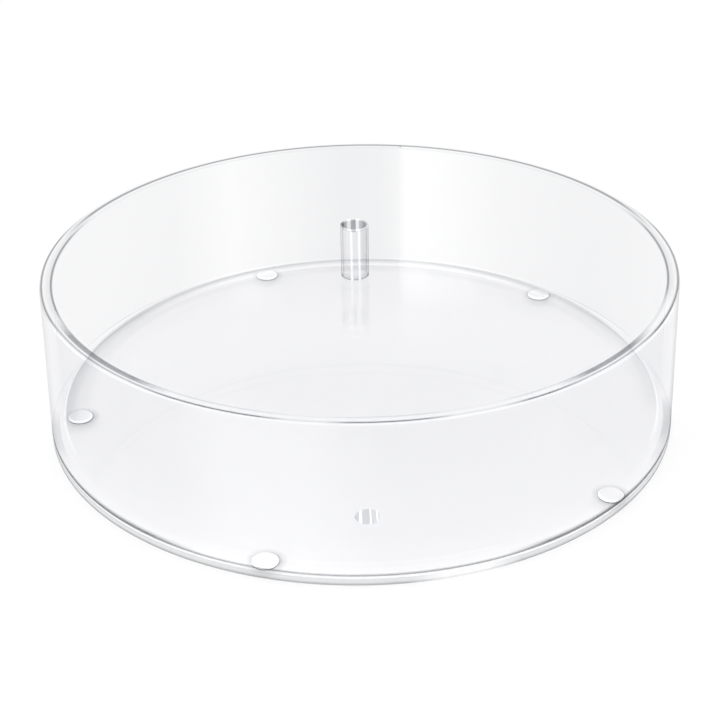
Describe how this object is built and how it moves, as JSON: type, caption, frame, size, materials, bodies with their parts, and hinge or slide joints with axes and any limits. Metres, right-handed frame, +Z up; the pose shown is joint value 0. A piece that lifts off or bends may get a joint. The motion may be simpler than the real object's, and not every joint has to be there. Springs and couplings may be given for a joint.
{
  "type": "lazy susan turntable",
  "caption": "Clear acrylic round turntable tray with an upright wall, turning on white glide pads over a flat base, with a short open post tube and a plug in its floor.",
  "frame": {"origin": "centre of the base disc's underside, on the axis that the tray turns on", "axes": "+Z up along the turning axis; the tube stands towards +Y and the floor plug lies towards -Y"},
  "size_m": [0.3, 0.3, 0.0765],
  "materials": {
    "clear_acrylic": "clear polished acrylic",
    "seam_cement": "clear solvent cement",
    "white_glide": "satin white"
  },
  "bodies": {
    "base": {"base_disc": "clear_acrylic", "centre_pivot": "clear_acrylic", "glide_pad_1": "white_glide", "glide_pad_2": "white_glide", "glide_pad_3": "white_glide", "glide_pad_4": "white_glide", "glide_pad_5": "white_glide"},
    "tray": {"tray_floor": "clear_acrylic", "floor_plug": "clear_acrylic", "tray_wall": "clear_acrylic", "wall_seam": "seam_cement", "post_tube": "clear_acrylic"}
  },
  "joints": [
    {"name": "tray_spin", "type": "hinge", "parent": "base", "child": "tray", "pos_m": [0, 0, 0.0045], "axis": [0, 0, 1], "continuous": true}
  ]
}
